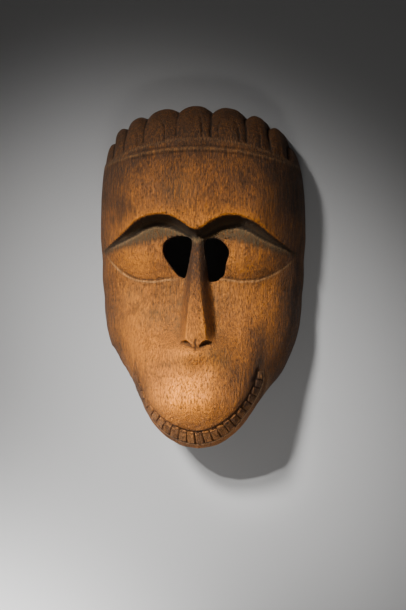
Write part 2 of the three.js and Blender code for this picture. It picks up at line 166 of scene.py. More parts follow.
# The grooves between the petals and the arch cut into each
def petalCuts(x, y):
    overFoot = overPetalFoot(x, y)
    inPetal = ramp(-0.8, 0.8, overFoot)
    cut = 0
    for edge, depth in zip(crown["petalEdges"], crown["grooveDepths"]):
        wander = crown["grooveWander"] * np.sin(y / 3.1 + edge)
        cut = cut + depth * bump(x + wander, edge, crown["grooveWidth"])
    for left, right, top, leftDepth, rightDepth in crown["arches"]:
        middle, half = (left + right) / 2, (right - left) / 2
        across = (x - middle + crown["archWander"] * np.sin(y / 2.3 + left)) / half
        arch = np.maximum(np.abs(across) ** 3 + np.clip(overFoot / top, 0, 2) ** 3, 1e-6) ** (1 / 3)
        depth = mix(leftDepth, rightDepth, ramp(-0.9, 0.9, across))
        chatter = 0.6 + 0.4 * np.sin(y / 1.7 + right) ** 2
        cut = cut + depth * bump((arch - 1) * half, 0, crown["archWidth"]) * chatter
    return cut * inPetal


def crownRelief(x, y):
    overBand = y - (crown["bandMiddle"] - crown["bandBow"] * x * x)
    petals = inPetals(x, y)
    grooveAt, grooveDepth, grooveWidth = crown["cordGroove"]
    cord = crown["cordRise"] * bump(overBand, 0, crown["cordWidth"])
    cord = cord - grooveDepth * bump(overBand, grooveAt, grooveWidth)
    band = crown["bandRise"] * ramp(-0.5, 0.8, overBand) * (1 - petals)
    lobes = crown["petalRise"] * petals * (petalFullness(x) - 0.45)
    return cord + band + lobes - petalCuts(x, y)


# The gum line is a rounded U below the top of the mouth, and the teeth and the lip follow it
mouth = {
    "top": -68,
    "gumHalfWidth": 44.8,
    "gumDrop": 47,
    "gumRoundness": 1.75,
    "toothPitch": 6.15,
    "toothLength": [[0, 9], [15, 8.6], [30, 7.4], [47, 4.8], [62, 4.2], [78, 4], [91, 1.6]],
    "recess": 2.0,
    # The lower lip is a thin bead, a groove and a flatter ridge: [below the teeth, rise, width]
    "lipLines": [[1, 1.1, 0.9], [2.6, -0.5, 0.8], [4.4, 0.7, 1.4]],
    "leftWear": 0.8,  # how much of the row is worn off its left end
    "cornerSlot": [[45, -69], [43.8, -73], [41.8, -77.4]],
    "cornerSlotDepth": 1.8,
    "cornerSlotWidth": 1.1,
    # Small holes by the right corner: [x, y, radius, depth]
    "pits": [[34.4, -94.8, 0.8, 1.4], [36.2, -97, 0.8, 1.4], [33, -99.5, 0.6, 0.8]],
}

toothLength = curveThrough(mouth["toothLength"])


# Distance from the middle of the mouth to the gum line, by direction: 0 is straight down to the chin
def gumRadius(direction):
    angle = np.radians(direction)
    across = (np.abs(np.sin(angle)) / mouth["gumHalfWidth"]) ** mouth["gumRoundness"]
    down = (np.maximum(0, np.cos(angle)) / mouth["gumDrop"]) ** mouth["gumRoundness"]
    return (across + down) ** (-1 / mouth["gumRoundness"])


def mouthPlace(x, y):
    direction = np.degrees(np.arctan2(np.abs(x), mouth["top"] - y))
    below = np.hypot(x, y - mouth["top"]) - gumRadius(np.minimum(direction, 90))
    return direction, below


# What is left of the row of teeth and its channel: all of it, but for the worn left end
def rowLeft(x, direction):
    worn = np.where(x < 0, mouth["leftWear"] * ramp(12, 50, direction), 0)
    return (1 - worn) * (1 - ramp(85, 91, direction))


# The channel for the teeth, cut back from the upper lip, and the lower lip under it
def mouthRelief(x, y):
    direction, below = mouthPlace(x, y)
    length = toothLength(direction)
    left = rowLeft(x, direction)
    channel = ramp(-1.5, 1.8, below) * (1 - ramp(length - 0.6, length + 0.4, below))
    lip = 0
    for gap, rise, width in mouth["lipLines"]:
        lip = lip + rise * bump(below, length + gap, width)
    relief = left * (lip - mouth["recess"] * channel)
    toSlot = distanceTo(x, y, mouth["cornerSlot"])
    slot = mouth["cornerSlotDepth"] * bump(toSlot, 0, mouth["cornerSlotWidth"])
    for pitX, pitY, radius, depth in mouth["pits"]:
        slot = slot + depth * np.exp(-((x - pitX) ** 2 + (y - pitY) ** 2) / radius**2)
    return relief - slot


# The face, as heights over the rim along its middle line
face = {
    "foreheadLine": [
        [13, 77], [34.5, 80.5], [56, 80.5], [78, 77.5], [95, 73], [108, 68.5], [128.5, 60],
    ],
    "foreheadBow": 1 / 480,  # how it falls away to the sides
    "cheekLine": [[-128.5, 68], [-90, 70], [-60, 69], [-30, 67.5], [0, 66], [50, 66]],
    "cheekBow": 1 / 900,
    "muzzleRise": [
        [-128.5, 0], [-122, 4], [-114, 12], [-107, 20], [-99, 25.6], [-92, 27.2], [-82, 25.8],
        [-68, 20.5], [-54, 12.5], [-40, 5], [-20, 0],
    ],
    "muzzleHalfWidth": 40,
}

foreheadLine, cheekLine, muzzleRise = curvesOf(face, "foreheadLine", "cheekLine", "muzzleRise")


def foreheadHeight(x, y):
    swell = eyes["browSwell"] * bump(y, browEdge(np.abs(x)), 9)
    return foreheadLine(y) - face["foreheadBow"] * x * x + swell + crownRelief(x, y)


# The cheek, with the muzzle on it. Past the outer corner of the eye it is one surface with the forehead.
def cheekHeight(x, y):
    muzzle = muzzleRise(y) * np.exp(-((np.abs(x) / face["muzzleHalfWidth"]) ** 2.6))
    joined = ramp(52, 74, np.abs(x)) * ramp(-60, eyes["cornerHeight"], y)
    temple = foreheadLine(y) - face["foreheadBow"] * x * x
    return mix(cheekLine(y) - face["cheekBow"] * x * x + muzzle, temple, joined)


# Brow, eyelid crease and lower lid, as [distance from the middle line, height on the face]
eyes = {
    "corner": 73,
    "cornerHeight": 17.5,
    "browEdge": [
        [0, 33.2], [5, 35.2], [10, 38.6], [16, 42], [22, 43.9], [29, 44.2], [37, 42.4], [45.5, 38.2],
        [54, 31.2], [63, 24.6], [73, 17.5],
    ],
    "lidCrease": [
        [0, 26.6], [6, 28.6], [12, 32], [20, 35.2], [30, 36.4], [39, 33.6], [46, 29.4], [55, 25],
        [63, 21.6], [73, 17.5],
    ],
    "tilt": 0.02,  # the eyes sink a little to the right
    "lowerLid": [
        [0, -1.6], [12, -2], [20, -2.2], [34, -3.8], [44, -3], [51, -0.8], [57, 2.4], [65, 8.4],
        [73, 17.5],
    ],
    "browDepth": [[0, 13], [8, 16.5], [24, 16.5], [40, 13.5], [55, 9], [65, 5.5], [70.5, 3], [73, 0]],
    "browRounding": 3.4,
    "bulge": [[0, 2], [18, 4], [45, 4.5], [62, 2], [73, 0]],
    "browSwell": 2,
    "lidStep": 0.5,
    "lidSoftness": 2,  # over how much the eye meets the cheek
    "lidFold": 0.5,  # the raised lip along the crease of the upper lid
    "lidFoldWidth": 1.4,
    # The upper lid lies over the eye down to this line
    "upperLid": [
        [0, 25], [14, 28], [22, 28.6], [31, 27], [42, 24.4], [52, 22.2], [62, 20], [73, 17.5],
    ],
    "upperLidStep": 0.5,
    "lidBead": 0.65,  # the low bead along the lower lid
    "lidBeadWidth": 0.9,
    "rightOpening": [
        [4.8, 25], [9, 28], [13, 28.2], [17, 26.6], [20.6, 23.4], [23.2, 19.6], [23.4, 15.6],
        [21.4, 9], [20, 1.6], [16.8, -2.2], [12.6, -4.2], [8.2, -3], [6.4, 9],
    ],
    "leftOpening": [
        [-3.8, 24], [-6, 28.2], [-12, 29.8], [-19, 28.8], [-24.4, 25], [-25.6, 19.6], [-24.2, 14],
        [-20, 7.4], [-15.6, 1.2], [-11.4, -1.4], [-8.6, -0.4], [-6.4, 8.6],
    ],
    "openingRounding": 1.1,
    "cutBetween": [30, 120],  # heights between which the openings are cut straight through
}

browEdge, browDepth, eyeBulge = curvesOf(eyes, "browEdge", "browDepth", "bulge")
lidCrease, upperLid, lowerLid = curvesOf(eyes, "lidCrease", "upperLid", "lowerLid")
rightOpening = smoothOutline(eyes["rightOpening"])
leftOpening = smoothOutline(eyes["leftOpening"])


def openingGap(x, y):
    return np.minimum(distanceTo(x, y, rightOpening, True), distanceTo(x, y, leftOpening, True))


# The rounded lower edge of the brow
def browRoll(away, over):
    radius = np.minimum(eyes["browRounding"], 0.4 * browDepth(away))
    return edgeFall(over, np.maximum(radius, 1e-6))


# Heights on the face as the carver saw them: the line of the eyes isn't quite level
def eyeLevel(x, y):
    return y + eyes["tilt"] * x * ramp(-2, 12, y) * (1 - ramp(52, 80, y))


# The socket under the brow: a steep cut, then the bulging eye, down to the edge of the cheek
def eyeHeight(x, y):
    away = np.abs(x)
    brow, crease, lid = browEdge(away), lidCrease(away), lowerLid(away)
    top = foreheadHeight(x, brow) - browRoll(away, 0)
    cutShare = np.clip((brow - y) / np.maximum(brow - crease, 1e-6), 0, 1)
    cutShape = mix(cutShare**0.8, np.sin(cutShare * math.pi / 2), 0.5)
    underBrow = top - (browDepth(away) - browRoll(away, 0)) * cutShape
    down = np.clip((crease - y) / np.maximum(crease - lid, 1e-6), 0, 1)
    bulge = eyeBulge(away) * (1 - (2 * down - 1) ** 2)
    atLid = cheekHeight(x, lid) - eyes["lidStep"]
    eyeball = mix(top + browRoll(away, 0) - browDepth(away), atLid, down) + bulge
    nearCorner = 1 - ramp(60, eyes["corner"], away)
    fold = eyes["lidFold"] * nearCorner * bump(y, crease - 1.4, eyes["lidFoldWidth"])
    onLid = ramp(-0.5, 0.5, y - upperLid(away)) * ramp(73, 66, away)
    return np.where(y > crease, underBrow, eyeball + eyes["upperLidStep"] * onLid) + fold


# The nose: [height on the face, height over the rim or half width], and its end as [half width, height]
nose = {
    "ridge": [
        [-58, 92], [-50, 95.5], [-40, 94], [-22, 88.5], [-2, 81.5], [16, 75], [27, 71.5], [34, 71],
    ],
    "ridgeHalfWidth": [[-52, 8], [-38, 7.2], [-25, 5.4], [-10, 3.6], [11, 2.2], [26, 1.5]],
    "baseHalfWidth": [[-52, 14.2], [-38, 13.8], [-18, 12.2], [0, 9.4], [12, 7.2], [24, 5.4], [32, 4.6]],
    "bow": 1 / 34,
    "end": [
        [0, -54.4], [1.6, -53.6], [3.2, -51.4], [5.4, -49.2], [8, -48], [10.6, -48.4], [12.8, -50.2],
        [14.4, -51.6],
    ],
    "endLean": 0.9,  # the tip stands a little to the right
    "underRise": 15,  # the lip swells up under the nostrils
    "underMiddle": -55,
    "underHalfWidth": 23,
    "crack": [[1.2, -46.8], [0.4, -49.4], [1.4, -52], [0.6, -54.5]],
    "crackDepth": 0.8,
    "crackWidth": 0.7,
}

noseRidge, noseEnd = curvesOf(nose, "ridge", "end")
noseRidgeHalfWidth, noseBaseHalfWidth = curvesOf(nose, "ridgeHalfWidth", "baseHalfWidth")


def noseHeight(x, y, around):
    away = np.abs(x - nose["endLean"] * (1 - ramp(-50, 0, y)))
    start, end = noseRidgeHalfWidth(y), noseBaseHalfWidth(y)
    side = mix(ramp(start, end, away), np.clip((away - start) / (end - start), 0, 1), 0.5)
    ridge = noseRidge(y) - nose["bow"] * away * away
    nearTip = bump(x, 0, nose["underHalfWidth"]) * bump(y, nose["underMiddle"], 10)
    around = around + nose["underRise"] * nearTip
    raised = np.maximum(around, mix(ridge, around, side))
    return mix(around, raised, ramp(-1.0, 0.8, y - noseEnd(away)))


# Height of the carved face over the rim, before it rounds off towards the edge
def faceHeight(x, plainY):
    away, y = np.abs(x), eyeLevel(x, plainY)
    inEye = (away < eyes["corner"]) & (y < browEdge(away)) & (y > lowerLid(away))
    edge = np.where(away < eyes["corner"], browEdge(away), eyes["cornerHeight"])
    forehead = foreheadHeight(x, y) - np.where(away < eyes["corner"], browRoll(away, y - edge), 0)
    skin = np.where(y >= edge, forehead, cheekHeight(x, y) + mouthRelief(x, y))
    soft = np.where(away < eyes["corner"] - 3, eyes["lidSoftness"], 0.2)
    skin = np.where(inEye, mix(skin, eyeHeight(x, y), ramp(0, soft, y - lowerLid(away))), skin)
    skin = np.where((away < 48) & (y < browEdge(0)), noseHeight(x, y, skin), skin)
    bead = eyes["lidBead"] * bump(y, lowerLid(away) - 0.6, eyes["lidBeadWidth"])
    bead = bead * ramp(14, 20, away) * (1 - ramp(62, 70, away))
    crack = nose["crackDepth"] * bump(distanceTo(x, y, nose["crack"]), 0, nose["crackWidth"])
    return skin + bead - crack - edgeFall(openingGap(x, plainY), eyes["openingRounding"])


# The hollow inside, with the marks of the gouge that cut it
hollow = {
    "line": [
        [-128.5, 54], [-113, 68], [-98, 82], [-84, 85], [-70, 77], [-54, 67], [-36, 59], [-10, 56],
        [12, 53], [28, 52.5], [44, 61], [60, 68.5], [83, 65.5], [108, 57], [128.5, 50],
    ],
    "bow": 1 / 300,
    "wallShare": 0.72,
    "gougeWidth": 9,
    "gougeLength": 17,
    "gougeDepth": 0.55,
    "seed": 4,
}

hollowLine = curveThrough(hollow["line"])


# The scoops of a gouge, each the nearest of a scattered set
def gougeMarks(x, y):
    scatter = np.random.default_rng(hollow["seed"]).uniform(-0.42, 0.42, (64, 64, 3))
    column, row = np.floor(x / hollow["gougeWidth"]), np.floor(y / hollow["gougeLength"])
    nearest = np.full(x.shape, 9.0)
    depth = np.ones(x.shape)
    for right in (-1, 0, 1):
        for up in (-1, 0, 1):
            own = scatter[(column + right).astype(int) % 64, (row + up).astype(int) % 64]
            across = x / hollow["gougeWidth"] - (column + right + 0.5 + own[..., 0])
            along = y / hollow["gougeLength"] - (row + up + 0.5 + own[..., 1])
            gap = np.hypot(across, along)
            depth = np.where(gap < nearest, 1 + own[..., 2], depth)
            nearest = np.minimum(nearest, gap)
    return depth * (1 - np.clip(nearest, 0, 1) ** 2)


def hollowHeight(x, y):
    depth = hollowLine(y) - hollow["bow"] * x * x + hollow["gougeDepth"] * gougeMarks(x, y)
    return depth + edgeFall(openingGap(x, y), eyes["openingRounding"])


# The block: its outline from the front, its side walls and the rounded shoulders above them.
# Directions run from -90 at the chin, over 0 at the side, to 90 at the crown.
block = {
    "halfLength": 128.5,
    "halfOutline": [
        [0, -128.5], [12, -126.7], [20.5, -122.4], [26.8, -117.8], [31.5, -113.2], [35.2, -108.8],
        [38, -104.3], [41, -99.8], [43.8, -95.4], [47.2, -90.5], [51.8, -84.2], [56, -78.8],
        [59.2, -73.8], [62, -68.5], [64.8, -62.5], [67.6, -56], [70.2, -49], [72.6, -40],
        [74.3, -28], [75.4, -11], [76.4, 8], [77.8, 32], [77.6, 46], [76.6, 65], [74.8, 79],
        [71.8, 91.5], [67.8, 101.2], [61.4, 109.8], [52.2, 116.8], [39.3, 122.8], [25, 126.6],
        [11.5, 128.1], [0, 128.5],
    ],
    "crownSway": -1.6,  # the crown leans a little to the left
    "crownSwayStart": 70,
    "chinLean": 9,  # the chin stands out over the rim below it
    "chinLeanStart": -66,
    "wallHeight": [
        [-90, 58], [-72, 53], [-58, 38], [-38, 22], [-10, 17], [20, 17], [50, 24], [70, 34], [90, 38],
    ],
    "shoulderWidth": [
        [-90, 14], [-72, 18], [-58, 30], [-38, 46], [-10, 56], [20, 56], [50, 44], [70, 28], [90, 24],
    ],
    "shoulderRise": [[-90, 22], [-58, 46], [-10, 50], [50, 48], [90, 32]],
    "rimWidth": [[-90, 8], [-72, 9], [-54, 10.5], [-34, 8.5], [0, 8], [50, 8], [90, 9.5]],
    "rimRounding": 1.3,
    "wornJaw": [[-68, 0], [-60, 3], [-55, 4.6], [-48, 3.2], [-40.5, 1.6], [-38.5, 0.9], [-37.5, 0]],
    "wornJawRoughness": 0.05,
}

outlineRadius = curveThrough(
    [[math.degrees(math.atan2(y, x)), math.hypot(x, y)] for x, y in block["halfOutline"]]
)
wallHeight, rimWidth, wornJaw = curvesOf(block, "wallHeight", "rimWidth", "wornJaw")
shoulderWidth, shoulderRise = curvesOf(block, "shoulderWidth", "shoulderRise")


# The way out from the middle to the rim: over the face, round the shoulder and down the wall
def wayOut(direction, isInset=False):
    radius = outlineRadius(direction) - (rimWidth(direction) if isInset else 0)
    wall = wallHeight(direction) * (hollow["wallShare"] if isInset else 1)
    shoulder = np.minimum(shoulderWidth(direction), radius)
    bend = 1.1 * np.hypot(shoulder, shoulderRise(direction))
    return radius, wall, shoulder, bend, radius - shoulder


# Share of the way out at which a place on the face lies
def shareAt(x, y):
    radius, wall, shoulder, bend, flat = wayOut(np.degrees(np.arctan2(y, np.abs(x))))
    past = np.hypot(x, y) - flat
    turn = np.arcsin(np.clip(past / shoulder, 0, 1))
    return (flat + np.minimum(0, past) + bend * turn * 2 / math.pi) / (flat + bend + wall)


# Places on the outside, or on the inside of the hollow
def shellPoints(angle, share, height, isInset=False):
    cos, sin = np.cos(angle), np.sin(angle)
    direction = np.degrees(np.arctan2(sin, np.abs(cos)))
    radius, wall, shoulder, bend, flat = wayOut(direction, isInset)
    gone = share * (flat + bend + wall)
    turn = np.clip((gone - flat) / bend, 0, 1) * math.pi / 2
    down = np.clip((gone - flat - bend) / wall, 0, 1)
    out = np.where(gone <= flat, gone, flat + shoulder * np.sin(turn))
    x, y = out * cos, out * sin
    z = np.where(down > 0, wall * (1 - down), mix(wall, height(x, y), np.cos(turn)))
    lean = ramp(block["chinLeanStart"], -block["halfLength"], y) * (1 - np.minimum(1, z / wall))
    rounding = edgeFall(z, block["rimRounding"]) * (-1 if isInset else 1)
    if not isInset:
        nearEdge = ramp(0.86, 1, out / radius)
        between = (1 - petalFullness(x)) * inPetals(x, y) * notchShare(x)
        notch = mix(*crown["petalNotch"], ramp(0, 0.4, down)) * between
        bite = np.sin(direction * 0.9 + z / 11) + 0.6 * np.sin(direction * 1.9 - z / 8)
        chipped = 1 + block["wornJawRoughness"] * bite
        worn = np.where(cos < 0, wornJaw(direction) * chipped, 0)
        rounding = rounding + nearEdge * (notch + worn)
    x = x - rounding * cos + block["crownSway"] * ramp(block["crownSwayStart"], block["halfLength"], y)
    y = y - rounding * sin + block["chinLean"] * lean
    return np.stack([x, y, z], -1)


def skinPoints(angle, share):
    return shellPoints(angle, share, faceHeight)


# How fine the mesh is, and how uneven the knife left it
carving = {
    "outerCells": 460,  # along each side of the net over the outside
    "unevenness": 0.28,
    "seed": 11,
    # How the lines of the net fan out: only their ratio counts
    "planHalfWidth": 125,
    "planHalfLength": 200,
    "triangles": 188000,
}


# Low waves that no machine would leave
def unevenness(x, y, z):
    waves = np.random.default_rng(carving["seed"])
    total = 0
    for wavelength in (46, 31, 22, 15, 10.5, 7.5):
        for _ in range(2):
            heading = waves.normal(size=3)
            heading = heading / np.linalg.norm(heading) * (1.6, 0.7, 1.0)
            phase = waves.uniform(0, 2 * math.pi)
            along = x * heading[0] + y * heading[1] + z * heading[2]
            total = total + wavelength / 46 * np.sin(2 * math.pi * along / wavelength + phase)
    return total / 3


# A square net laid over the oval plan, so that its lines run straight up and across the face
def planNet(cells):
    side = np.linspace(-1, 1, cells + 1)
    u, v = np.meshgrid(side, side, indexing="ij")
    across, along = u * np.sqrt(1 - v * v / 2), v * np.sqrt(1 - u * u / 2)
    angle = np.arctan2(carving["planHalfLength"] * along, carving["planHalfWidth"] * across)
    return angle, np.minimum(1, np.hypot(across, along))


def normalsOf(points):
    right, up = np.gradient(points, axis=0), np.gradient(points, axis=1)
    normal = np.cross(right, up)
    return normal / np.maximum(np.linalg.norm(normal, axis=2, keepdims=True), 1e-9)


# The numbers of the net's border points, once round
def borderOf(cells):
    index = np.arange((cells + 1) ** 2).reshape(cells + 1, cells + 1)
    return np.concatenate([index[:-1, 0], index[-1, :-1], index[:0:-1, -1], index[0, :0:-1]])


def netFaces(cells, isTurned):
    index = np.arange((cells + 1) ** 2).reshape(cells + 1, cells + 1)
    corners = [index[:-1, :-1], index[1:, :-1], index[1:, 1:], index[:-1, 1:]]
    if isTurned:
        corners.reverse()
    return np.stack(corners, -1).reshape(-1, 4).tolist()


def sceneObject(name, data):
    made = bpy.data.objects.new(name, data)
    bpy.context.scene.collection.objects.link(made)
    return made


def makeMesh(name, points, faces):
    mesh = bpy.data.meshes.new(name)
    mesh.from_pydata((np.asarray(points) * millimetre).tolist(), [], faces)
    mesh.validate()
    return sceneObject(name, mesh)


outerCells = carving["outerCells"]
innerCells = outerCells // 2
outerAngle, outerShare = planNet(outerCells)
innerAngle, innerShare = planNet(innerCells)
outside = skinPoints(outerAngle, outerShare)
inside = shellPoints(innerAngle, innerShare, hollowHeight, isInset=True)

# The knife's unevenness goes mostly inwards, so that the mask keeps its size
notAtRim = mix(0.02, 1, ramp(0, 4, outside[..., 2]))[..., None]
waves = unevenness(*np.moveaxis(outside, -1, 0))[..., None]
outside = outside + normalsOf(outside) * notAtRim * carving["unevenness"] * (waves - 1)
print("the carved surface is worked out")


def shellObject():
    faces = netFaces(outerCells, False)
    count = len(outside.reshape(-1, 3))
    faces += [[count + i for i in corners] for corners in netFaces(innerCells, True)]
    outerRim, innerRim = borderOf(outerCells), borderOf(innerCells) + count
    # The rim joins two steps of the outer border to one of the inner
    for i in range(len(innerRim)):
        far, half = (i + 1) % len(innerRim), 2 * i + 1
        a, b, c = outerRim[2 * i], outerRim[half], outerRim[(half + 1) % len(outerRim)]
        p, q = innerRim[i], innerRim[far]
        faces += [[int(k) for k in corners] for corners in ([b, a, p], [b, p, q], [c, b, q])]
    points = np.concatenate([outside.reshape(-1, 3), inside.reshape(-1, 3)])
    return makeMesh("carvedMask", points, faces)


# A straight cutter through one eye
def eyeCutter(outline):
    count = len(outline)
    low, high = (np.column_stack([outline, np.full(count, z)]) for z in eyes["cutBetween"])
    ring = range(count)
    faces = [[i, (i + 1) % count, count + (i + 1) % count, count + i] for i in ring]
    faces += [list(reversed(ring)), [count + i for i in ring]]
    cutter = makeMesh("eyeCutter", np.concatenate([low, high]), faces)
    flipInwardFaces(cutter)
    return cutter


def flipInwardFaces(made):
    corners = np.array([made.data.vertices[i].co for i in made.data.polygons[0].vertices])
    middle = np.mean([v.co for v in made.data.vertices], axis=0)
    if np.dot(np.array(made.data.polygons[0].normal), corners.mean(0) - middle) < 0:
        made.data.flip_normals()


def addNode(tree, kind, inputs=None, **settings):
    node = tree.nodes.new(kind)
    for name, value in settings.items():
        setattr(node, name, value)
    for name, value in (inputs or {}).items():
        if isinstance(value, bpy.types.NodeSocket):
            tree.links.new(value, node.inputs[name])
        else:
            node.inputs[name].default_value = value
    return node


# Colours are written as on screen, and Blender wants them linear
def linearColour(code):
    parts = [int(code[i : i + 2], 16) / 255 for i in (1, 3, 5)]
    return tuple(c / 12.92 if c <= 0.04045 else ((c + 0.055) / 1.055) ** 2.4 for c in parts) + (1,)


# What age and use left on the wood, and some painted highlight and shade, painted on the mesh point by
# point
coats = ("grimeAndShade", "rubbedAndHighlit", "dust", "smokedAndShaded", "pale", "inHollow")

oldWood = {
    "fresh": "#b16a1e",
    "deep": "#7c4919",
    # Smoke-darkened wood; this colour also paints the shade on the temples, sides, lids and nose bridge
    "smokedAndShaded": "#2f1d0c",
    # Grime; this colour also paints the shade under the brows
    "grimeAndShade": "#180e06",
    # Rubbed wood; this colour also paints the highlight on the muzzle
    "rubbedAndHighlit": "#ee8c0a",
    "pale": "#c39a68",
    "dust": "#605035",
    "hollowWood": "#5a3f27",
    "roughness": 0.7,
    # Each pattern's width across the grain in metres, squeeze along it, detail, roughness and distortion
    "patterns": {
        "tone": [0.055, 0.6, 4, 0.55, 0],
        "streaks": [0.0042, 0.05, 3, 0.55, 0],
        "fibres": [0.001, 0.07, 3, 0.65, 0],
        "blotches": [0.021, 0.7, 5, 0.62, 0.4],
        "stains": [0.008, 0.6, 4, 0.7, 0.6],
        "pores": [0.0011, 0.45, 2, 0.5, 0.3],
        "finePores": [0.000495, 0.12, 2, 0.55, 0],
        "speckle": [0.0011, 0.4, 2, 0.6, 0],
        "ripple": [0.002, 0.7, 3, 0.65, 0.8],
    },
    # What each pattern lays over the wood: where it starts and is full, its share there, the colour
    "layers": [
        ["streaks", 0.42, 0.7, 0.35, "deep"],
        ["fibres", 0.5, 0.7, 0.35, "rubbedAndHighlit"],
        ["fibres", 0.5, 0.32, 0.45, "smokedAndShaded"],
        ["speckle", 0.5, 0.68, 0.12, "rubbedAndHighlit"],
        ["speckle", 0.48, 0.3, 0.25, "smokedAndShaded"],
        ["stains", 0.52, 0.68, 0.4, "smokedAndShaded"],
        ["blotches", 0.54, 0.72, 0.5, "smokedAndShaded"],
    ],
    "bumpHeight": 0.0014,
    "bumpStrength": 0.8,
}


# Hard wood cut with a knife, oiled and handled for years: the pores read as short dark dashes down the
# grain, grime lies in the cuts, and the high places are rubbed pale and shiny
# Part of its colour is painted light: shade under the brows and down the sides, a highlight on the
# muzzle
def oldCarvedWood():
    material = bpy.data.materials.new("oldCarvedWood")
    material.use_nodes = True
    tree = material.node_tree
    tree.nodes.clear()
    place = addNode(tree, "ShaderNodeTexCoord").outputs["Object"]

    def noise(width, squeeze, detail, roughness, distortion):
        scale = (1, squeeze, 1)
        along = addNode(tree, "ShaderNodeMapping", {"Vector": place, "Scale": scale}).outputs[0]
        inputs = {"Vector": along, "Scale": 1 / width, "Detail": detail, "Roughness": roughness}
        inputs["Distortion"] = distortion
        return addNode(tree, "ShaderNodeTexNoise", inputs).outputs["Fac"]

    def remap(value, low, high, toLow=0.0, toHigh=1.0):
        inputs = {"Value": value, "From Min": low, "From Max": high, "To Min": toLow, "To Max": toHigh}
        return addNode(tree, "ShaderNodeMapRange", inputs, interpolation_type="SMOOTHSTEP").outputs[0]

    def multiply(a, b):
        return addNode(tree, "ShaderNodeMath", {0: a, 1: b}, operation="MULTIPLY").outputs[0]

    def add(a, b):
        return addNode(tree, "ShaderNodeMath", {0: a, 1: b}, operation="ADD").outputs[0]

    def painted(name):
        return addNode(tree, "ShaderNodeAttribute", attribute_name=name).outputs["Fac"]

    def blendColour(share, a, b):
        node = addNode(tree, "ShaderNodeMix", {"Factor": share}, data_type="RGBA")
        for name, value in ((6, a), (7, b)):
            if isinstance(value, bpy.types.NodeSocket):
                tree.links.new(value, node.inputs[name])
            else:
                node.inputs[name].default_value = linearColour(value)
        return node.outputs[2]

    grimeAndShade, rubbedAndHighlit, dust, smokedAndShaded, pale, inHollow = (painted(name) for name in coats)
    patterns = {name: noise(*values) for name, values in oldWood["patterns"].items()}
    fibres, blotches = patterns["fibres"], patterns["blotches"]
    pores, finePores = patterns["pores"], patterns["finePores"]

    # Broad tone, then streaks and fibres down the grain, then stains and blotches of oil
    wood = blendColour(remap(patterns["tone"], 0.35, 0.68), oldWood["deep"], oldWood["fresh"])
    for name, start, full, share, colour in oldWood["layers"]:
        wood = blendColour(remap(patterns[name], start, full, 0.0, share), wood, oldWood[colour])
    # Rubbing with the painted highlight, smoke with the painted shade, and dust take hold thread by
    # thread
    threads = add(multiply(fibres, 0.75), multiply(patterns["speckle"], 0.25))
    wood = blendColour(multiply(rubbedAndHighlit, remap(threads, 0.38, 0.58, 0.4, 0.85)), wood, oldWood["rubbedAndHighlit"])
    wood = blendColour(multiply(smokedAndShaded, remap(threads, 0.38, 0.62, 0.95, 0.7)), wood, oldWood["smokedAndShaded"])
    # Dirt in the pores shows most where the wood is rubbed pale
    dirt = add(multiply(rubbedAndHighlit, 0.4), 0.4)
    wood = blendColour(multiply(dirt, remap(pores, 0.54, 0.7)), wood, oldWood["smokedAndShaded"])
    wood = blendColour(multiply(dirt, remap(finePores, 0.5, 0.7)), wood, oldWood["smokedAndShaded"])
    wood = blendColour(multiply(pale, remap(threads, 0.38, 0.6, 0.3, 1.0)), wood, oldWood["pale"])
    wood = blendColour(inHollow, wood, oldWood["hollowWood"])
    wood = blendColour(multiply(dust, remap(threads, 0.4, 0.6, 0.75, 0.3)), wood, oldWood["dust"])
    # Grime in the cuts, and the painted shade under the brows
    wood = blendColour(multiply(grimeAndShade, 0.9), wood, oldWood["grimeAndShade"])

    # Grime and dust take the shine away, and rubbing brings it back
    shine = add(remap(blotches, 0.3, 0.75, 0.0, 0.12), multiply(add(grimeAndShade, dust), 0.22))
    shine = add(shine, remap(rubbedAndHighlit, 0.3, 1, 0.0, -0.25))
    roughness = add(shine, oldWood["roughness"])

    # The pores are sunk, and the knife's ripples and the fibres stand up a little
    relief = add(multiply(remap(pores, 0.5, 0.75), -0.6), multiply(patterns["streaks"], 0.7))
    relief = add(relief, multiply(patterns["ripple"], 0.9))
    relief = add(relief, multiply(remap(finePores, 0.5, 0.75), -0.3))
    relief = add(relief, multiply(fibres, 0.5))
    inputs = {"Height": relief, "Strength": oldWood["bumpStrength"], "Distance": oldWood["bumpHeight"]}
    raised = addNode(tree, "ShaderNodeBump", inputs)

    shader = addNode(tree, "ShaderNodeBsdfPrincipled", {"Base Color": wood, "Roughness": roughness})
    shader.inputs["IOR"].default_value = 1.45
    tree.links.new(raised.outputs[0], shader.inputs["Normal"])
    addNode(tree, "ShaderNodeOutputMaterial", {"Surface": shader.outputs[0]})
    return material


woodMaterial = oldCarvedWood()
print("the wood is mixed")

# One tooth, and how the teeth differ
teeth = {
    "width": 0.92,  # as a share of the pitch
    "offset": 1.9,  # the middle tooth stands a little to the right
    "overlap": 0.3,  # how far each end of a tooth runs under the lips
    "height": 1.35,  # above the floor of the channel
    "root": 1.6,  # below it
    "crease": 0.45,
    "endGap": 0.7,  # left free at each end of the row, as a share of the pitch
    "lowest": 30,  # no tooth reaches lower than this over the rim
    "sizeSpread": 0.08,
    "turnSpread": 1.5,
    "seed": 12,
}


# Length along the row of teeth, from the chin to each direction round the middle of the mouth
def toothRow():
    direction = np.arange(0.0, 91.0)
    radius = gumRadius(direction) + toothLength(direction) / 2
    angle = np.radians(direction)
    places = np.column_stack([radius * np.sin(angle), -radius * np.cos(angle)])
    steps = np.linalg.norm(np.diff(places, axis=0), axis=1)
    return direction, np.concatenate([[0], np.cumsum(steps)])


# Where a place on the plan of the mouth lies on the carved skin
def onSkin(direction, below):
    angle = np.radians(direction)
    radius = gumRadius(np.abs(direction)) + below
    x, y = radius * np.sin(angle), mouth["top"] - radius * np.cos(angle)
    return skinPoints(np.arctan2(y, x), shareAt(x, y))


